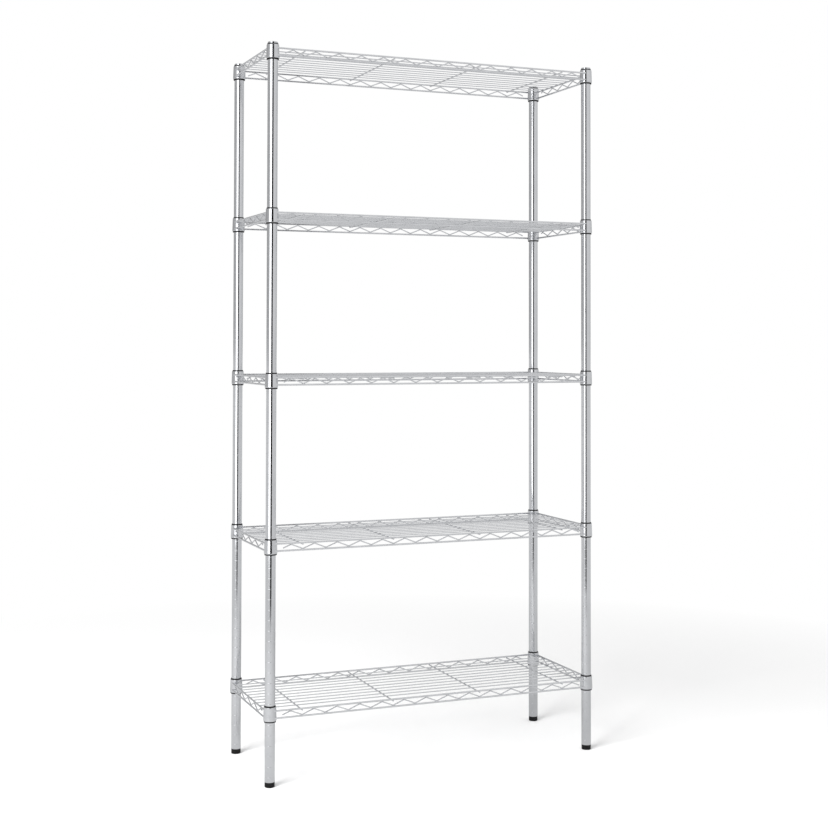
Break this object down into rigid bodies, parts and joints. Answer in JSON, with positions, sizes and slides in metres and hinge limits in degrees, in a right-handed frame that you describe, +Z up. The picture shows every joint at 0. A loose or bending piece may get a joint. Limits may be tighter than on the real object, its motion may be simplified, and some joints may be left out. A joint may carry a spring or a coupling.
{
  "type": "wire shelving rack",
  "caption": "Free-standing chrome wire rack: grooved round posts, lift-off wire shelves on tapered sleeves, and screw-out levelling feet, for trays and pots.",
  "frame": {"origin": "on the floor, at the middle of the rack", "axes": "+X along the shelves, +Y from front to rear, +Z up"},
  "size_m": [0.9112, 0.345, 1.8288],
  "materials": {
    "chrome_post": "polished chrome plate",
    "chrome_wire": "bright chrome plate",
    "chrome_collar": "polished chrome plate",
    "black_sleeve": "satin moulded",
    "black_foot": "fine grained",
    "zinc_steel": "zinc plated",
    "cap_metal": "pressed and plated"
  },
  "bodies": {
    "posts": {"post_lower_front_left": "chrome_post", "post_upper_front_left": "chrome_post", "post_lower_front_right": "chrome_post", "post_upper_front_right": "chrome_post", "post_lower_rear_left": "chrome_post", "post_upper_rear_left": "chrome_post", "post_lower_rear_right": "chrome_post", "post_upper_rear_right": "chrome_post", "post_inserts": "zinc_steel", "post_joiner_studs": "zinc_steel", "post_caps": "cap_metal", "sleeve_halves_1_left": "black_sleeve", "sleeve_halves_1_right": "black_sleeve", "sleeve_halves_2_left": "black_sleeve", "sleeve_halves_2_right": "black_sleeve", "sleeve_halves_3_left": "black_sleeve", "sleeve_halves_3_right": "black_sleeve", "sleeve_halves_4_left": "black_sleeve", "sleeve_halves_4_right": "black_sleeve", "sleeve_halves_5_left": "black_sleeve", "sleeve_halves_5_right": "black_sleeve"},
    "shelf_1": {"shelf_1_collars": "chrome_collar", "shelf_1_top_rails": "chrome_wire", "shelf_1_lower_rails": "chrome_wire", "shelf_1_truss_wires": "chrome_wire", "shelf_1_deck_wires": "chrome_wire", "shelf_1_cross_wires": "chrome_wire"},
    "shelf_2": {"shelf_2_collars": "chrome_collar", "shelf_2_top_rails": "chrome_wire", "shelf_2_lower_rails": "chrome_wire", "shelf_2_truss_wires": "chrome_wire", "shelf_2_deck_wires": "chrome_wire", "shelf_2_cross_wires": "chrome_wire"},
    "shelf_3": {"shelf_3_collars": "chrome_collar", "shelf_3_top_rails": "chrome_wire", "shelf_3_lower_rails": "chrome_wire", "shelf_3_truss_wires": "chrome_wire", "shelf_3_deck_wires": "chrome_wire", "shelf_3_cross_wires": "chrome_wire"},
    "shelf_4": {"shelf_4_collars": "chrome_collar", "shelf_4_top_rails": "chrome_wire", "shelf_4_lower_rails": "chrome_wire", "shelf_4_truss_wires": "chrome_wire", "shelf_4_deck_wires": "chrome_wire", "shelf_4_cross_wires": "chrome_wire"},
    "shelf_5": {"shelf_5_collars": "chrome_collar", "shelf_5_top_rails": "chrome_wire", "shelf_5_lower_rails": "chrome_wire", "shelf_5_truss_wires": "chrome_wire", "shelf_5_deck_wires": "chrome_wire", "shelf_5_cross_wires": "chrome_wire"},
    "foot_front_left": {"foot_pad_front_left": "black_foot", "foot_stud_front_left": "zinc_steel"},
    "foot_front_right": {"foot_pad_front_right": "black_foot", "foot_stud_front_right": "zinc_steel"},
    "foot_rear_left": {"foot_pad_rear_left": "black_foot", "foot_stud_rear_left": "zinc_steel"},
    "foot_rear_right": {"foot_pad_rear_right": "black_foot", "foot_stud_rear_right": "zinc_steel"}
  },
  "joints": [
    {"name": "shelf_1_lift", "type": "slide", "parent": "posts", "child": "shelf_1", "axis": [0, 0, 1], "range_m": [0, 0.368]},
    {"name": "shelf_2_lift", "type": "slide", "parent": "posts", "child": "shelf_2", "axis": [0, 0, 1], "range_m": [0, 0.368]},
    {"name": "shelf_3_lift", "type": "slide", "parent": "posts", "child": "shelf_3", "axis": [0, 0, 1], "range_m": [0, 0.368]},
    {"name": "shelf_4_lift", "type": "slide", "parent": "posts", "child": "shelf_4", "axis": [0, 0, 1], "range_m": [0, 0.368]},
    {"name": "shelf_5_lift", "type": "slide", "parent": "posts", "child": "shelf_5", "axis": [0, 0, 1], "range_m": [0, 0.1]},
    {"name": "foot_front_left_level", "type": "slide", "parent": "posts", "child": "foot_front_left", "axis": [0, 0, -1], "range_m": [0, 0.012]},
    {"name": "foot_front_right_level", "type": "slide", "parent": "posts", "child": "foot_front_right", "axis": [0, 0, -1], "range_m": [0, 0.012]},
    {"name": "foot_rear_left_level", "type": "slide", "parent": "posts", "child": "foot_rear_left", "axis": [0, 0, -1], "range_m": [0, 0.012]},
    {"name": "foot_rear_right_level", "type": "slide", "parent": "posts", "child": "foot_rear_right", "axis": [0, 0, -1], "range_m": [0, 0.012]}
  ]
}
